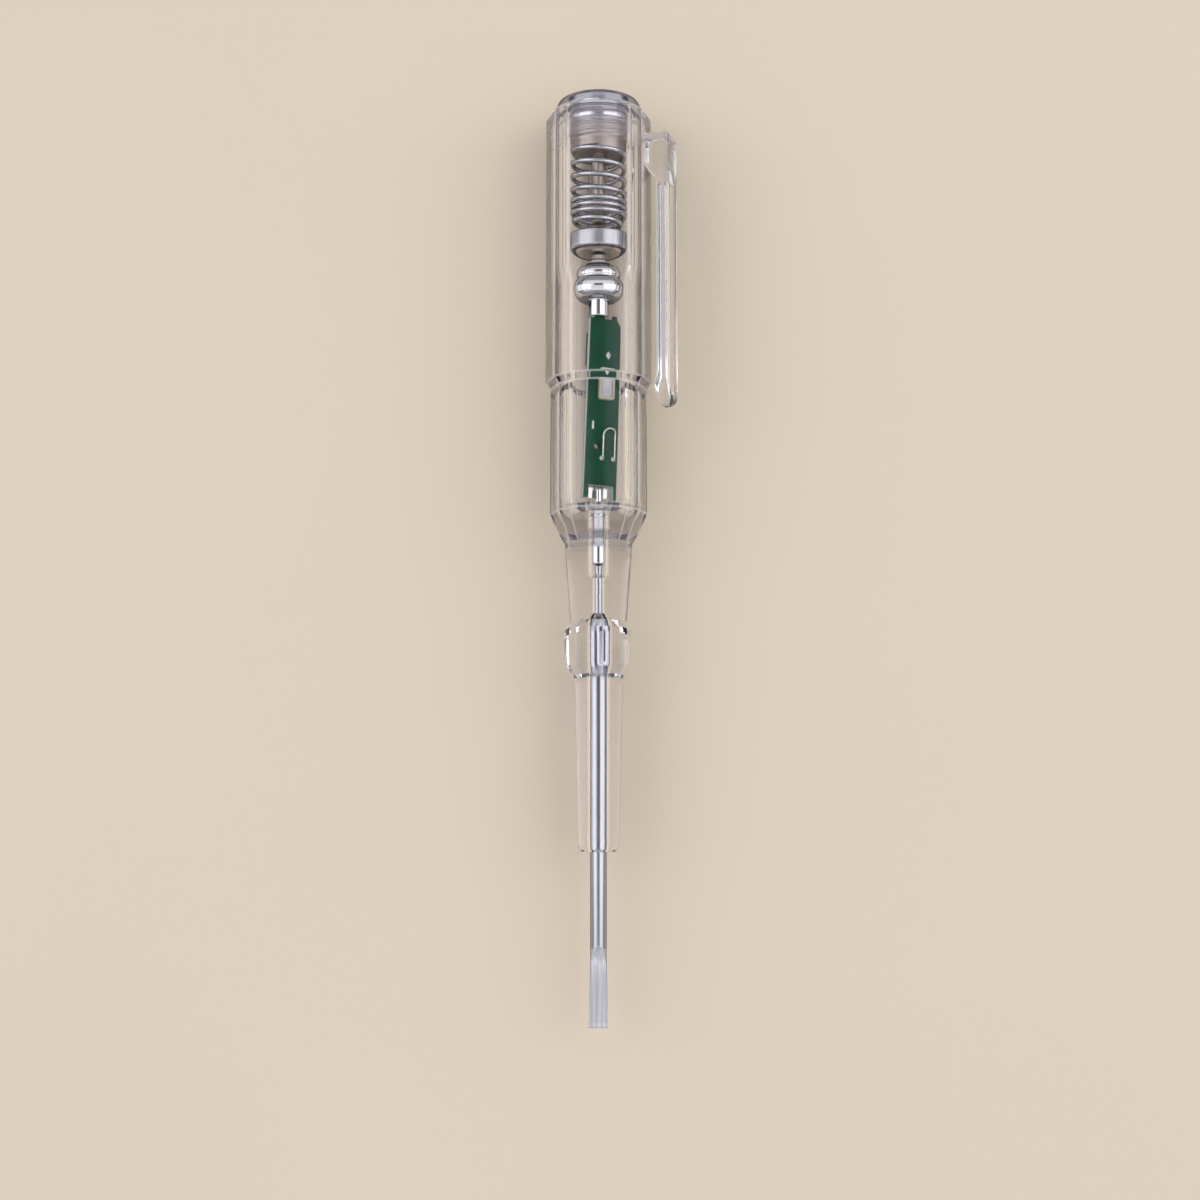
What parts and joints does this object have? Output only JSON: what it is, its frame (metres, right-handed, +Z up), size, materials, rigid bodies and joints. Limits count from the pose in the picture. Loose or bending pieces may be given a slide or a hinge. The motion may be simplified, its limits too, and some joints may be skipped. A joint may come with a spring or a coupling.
{
  "type": "voltage tester screwdriver",
  "caption": "See-through voltage tester screwdriver: faceted clear grip with pocket clip and metal touch cap, flat blade, and a spring, button cell and lamp board inside.",
  "frame": {"origin": "middle of the handle's lowest flat, on which the tool lies, below the battery chamber", "axes": "+Y along the tool from the blade to the end cap, +Z up from the lowest flat, +X towards the pocket clip"},
  "size_m": [0.027, 0.1863, 0.0211],
  "materials": {
    "clear_plastic": "clear gloss moulding",
    "cap_metal": "satin plated metal",
    "spring_wire": "bright plated wire",
    "cell_steel": "bright pressed steel",
    "gasket_black": "matte",
    "cell_cap_steel": "satin pressed steel",
    "nickel_plate": "bright nickel plate",
    "board_green": "green lacquer",
    "lamp_cream": "satin",
    "lamp_pale": "gloss",
    "tinned_wire": "tinned",
    "solder": "bright solder",
    "chip_black": "matte",
    "chip_tan": "satin",
    "blade_steel": "bright brushed steel"
  },
  "bodies": {
    "handle": {"handle": "clear_plastic", "cell_can": "cell_steel", "cell_gasket": "gasket_black", "cell_cap": "cell_cap_steel", "bell_contact": "nickel_plate", "circuit_board": "board_green", "contact_tab": "nickel_plate", "lamp_frame": "lamp_cream", "lamp_lens": "lamp_pale", "wire_loop": "tinned_wire", "left_solder_bead": "solder", "right_solder_bead": "solder", "solder_joint": "solder", "lead_end": "solder", "amplifier_transistor": "chip_black", "lamp_driver": "chip_black", "limiting_resistor": "chip_black", "chip_capacitor": "chip_tan", "contact_pin": "nickel_plate", "blade": "blade_steel"},
    "spring": {"battery_spring": "spring_wire"},
    "cap": {"end_cap": "cap_metal"},
    "clip": {"pocket_clip": "clear_plastic"}
  },
  "joints": [
    {"name": "cap_travel", "type": "slide", "parent": "handle", "child": "spring", "axis": [0, 1, 0], "range_m": [0, 0.00625], "deforming": ["battery_spring"]},
    {"name": "cap_turn", "type": "hinge", "parent": "spring", "child": "cap", "pos_m": [0, 0.0285, 0.01027], "axis": [0, 1, 0], "range_deg": [0, 1800.1]},
    {"name": "clip_flex", "type": "hinge", "parent": "handle", "child": "clip", "pos_m": [0.01005, 0.0188, 0.01354], "axis": [-0.309, 0, 0.9511], "range_deg": [0, 3], "stiffness_Nm_per_rad": 2}
  ],
  "couplings": [
    {"joint": "cap_turn", "follows": "cap_travel", "rad_per_m": 5026.5}
  ]
}
